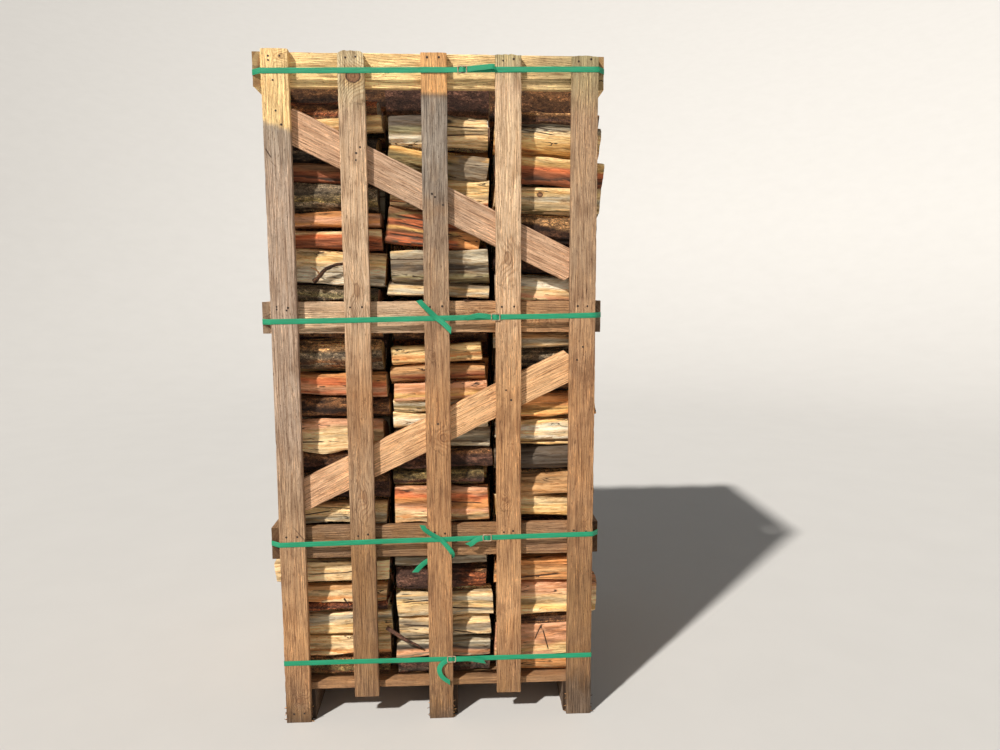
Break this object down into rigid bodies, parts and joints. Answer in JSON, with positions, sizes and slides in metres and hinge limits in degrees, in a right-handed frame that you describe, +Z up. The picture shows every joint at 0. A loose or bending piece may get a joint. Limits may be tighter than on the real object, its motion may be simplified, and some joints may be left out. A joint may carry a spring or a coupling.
{
  "type": "strapped pallet crate of split firewood",
  "caption": "Tall slatted timber pallet crate packed with split firewood logs and tied with flat straps; it stands on runners with fork pockets underneath.",
  "frame": {"origin": "middle of the crate's footprint, on the floor plane", "axes": "+Z up; -Y towards the front panel, where the straps are buckled; +X to the right seen from the front"},
  "size_m": [1.046, 1.046, 2.067],
  "materials": {
    "slat_wood": "rough-sawn softwood slats, partly bleached and greyed by weather",
    "rail_wood": "rough-sawn softwood boards, warm yellow to brown",
    "brace_wood": "rough-sawn softwood boards, pinkish tan",
    "deck_wood": "rough-sawn deck boards",
    "runner_wood": "rough squared timbers with some bark and dirt",
    "split_logs": "fresh split faces, bark and sawn ends",
    "strap": "embossed green plastic strapping, slightly glossy",
    "buckle_wire": "galvanised wire"
  },
  "bodies": {
    "root": {"front_slat_1": "slat_wood", "front_slat_2": "slat_wood", "front_slat_3": "slat_wood", "front_slat_4": "slat_wood", "front_slat_5": "slat_wood", "front_rail_1": "rail_wood", "front_rail_2": "rail_wood", "front_rail_3": "rail_wood", "front_brace_lower": "brace_wood", "front_brace_upper": "brace_wood", "back_slat_1": "slat_wood", "back_slat_2": "slat_wood", "back_slat_3": "slat_wood", "back_slat_4": "slat_wood", "back_slat_5": "slat_wood", "back_rail_1": "rail_wood", "back_rail_2": "rail_wood", "back_rail_3": "rail_wood", "back_brace_lower": "brace_wood", "back_brace_upper": "brace_wood", "left_rail_1": "rail_wood", "left_rail_2": "rail_wood", "left_rail_3": "rail_wood", "right_rail_1": "rail_wood", "right_rail_2": "rail_wood", "right_rail_3": "rail_wood", "runner_1": "runner_wood", "runner_2": "runner_wood", "runner_3": "runner_wood", "deck_board_1": "deck_wood", "deck_board_2": "deck_wood", "deck_board_3": "deck_wood", "deck_board_4": "deck_wood", "deck_board_5": "deck_wood", "deck_board_6": "deck_wood", "deck_board_7": "deck_wood", "logs_left_lower": "split_logs", "logs_left_middle": "split_logs", "logs_left_upper": "split_logs", "logs_middle_lower": "split_logs", "logs_middle_middle": "split_logs", "logs_middle_upper": "split_logs", "logs_right_lower": "split_logs", "logs_right_middle": "split_logs", "logs_right_upper": "split_logs", "strap_1": "strap", "buckle_1": "buckle_wire", "strap_2": "strap", "buckle_2": "buckle_wire", "strap_3": "strap", "buckle_3": "buckle_wire", "strap_4": "strap", "buckle_4": "buckle_wire"}
  },
  "joints": []
}
